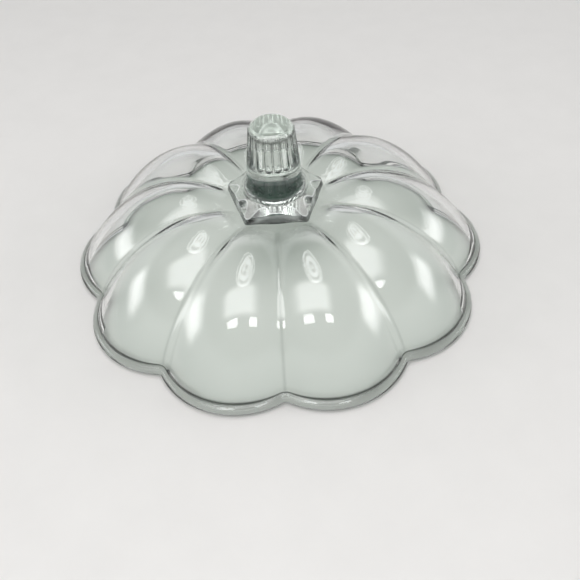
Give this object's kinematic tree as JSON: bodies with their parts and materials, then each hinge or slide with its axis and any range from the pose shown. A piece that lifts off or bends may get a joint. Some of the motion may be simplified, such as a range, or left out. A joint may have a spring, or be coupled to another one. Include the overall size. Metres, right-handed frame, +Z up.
{
  "type": "lobed glass dish cover",
  "caption": "Clear pressed-glass dish cover with rounded lobes, a beaded scalloped rim, a five-sided collar and a tapered fluted stem as its knob.",
  "frame": {"origin": "on the plane that the rim's ground seat rests on, at the dome's axis", "axes": "+Z up along the dome's axis; -Y towards a valley between two lobes and square to one flat side of the collar; +X towards a lobe's tip"},
  "size_m": [0.25, 0.2422, 0.0945],
  "materials": {
    "clear_glass": "fire-polished, faint grey-green",
    "clear_adhesive": "clear cured film"
  },
  "bodies": {
    "root": {"dome": "clear_glass", "collar": "clear_glass", "stem": "clear_glass", "collar_bond": "clear_adhesive", "stem_bond": "clear_adhesive"}
  },
  "joints": []
}
